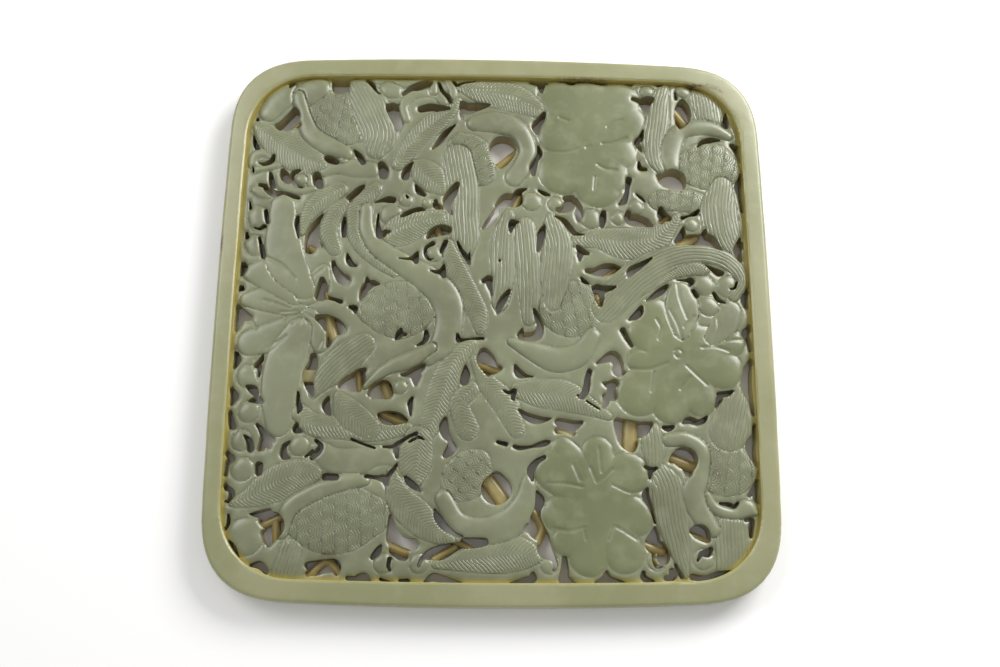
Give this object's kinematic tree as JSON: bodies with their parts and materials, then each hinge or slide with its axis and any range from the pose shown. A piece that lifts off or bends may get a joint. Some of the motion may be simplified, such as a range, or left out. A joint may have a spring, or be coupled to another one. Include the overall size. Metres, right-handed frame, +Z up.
{
  "type": "pierced jade plaque",
  "caption": "Rounded rectangular stone plaque, pierced and carved with birds, lotus leaves and plumes inside a plain raised frame; flat back.",
  "frame": {"origin": "centre of the flat back, on the surface the plaque lies on", "axes": "+Z up out of the carved face, +Y towards the far long edge as it lies, +X to the right"},
  "size_m": [0.198, 0.2024, 0.0095],
  "materials": {
    "jade": "polished"
  },
  "bodies": {
    "root": {"jade_plaque": "jade"}
  },
  "joints": []
}
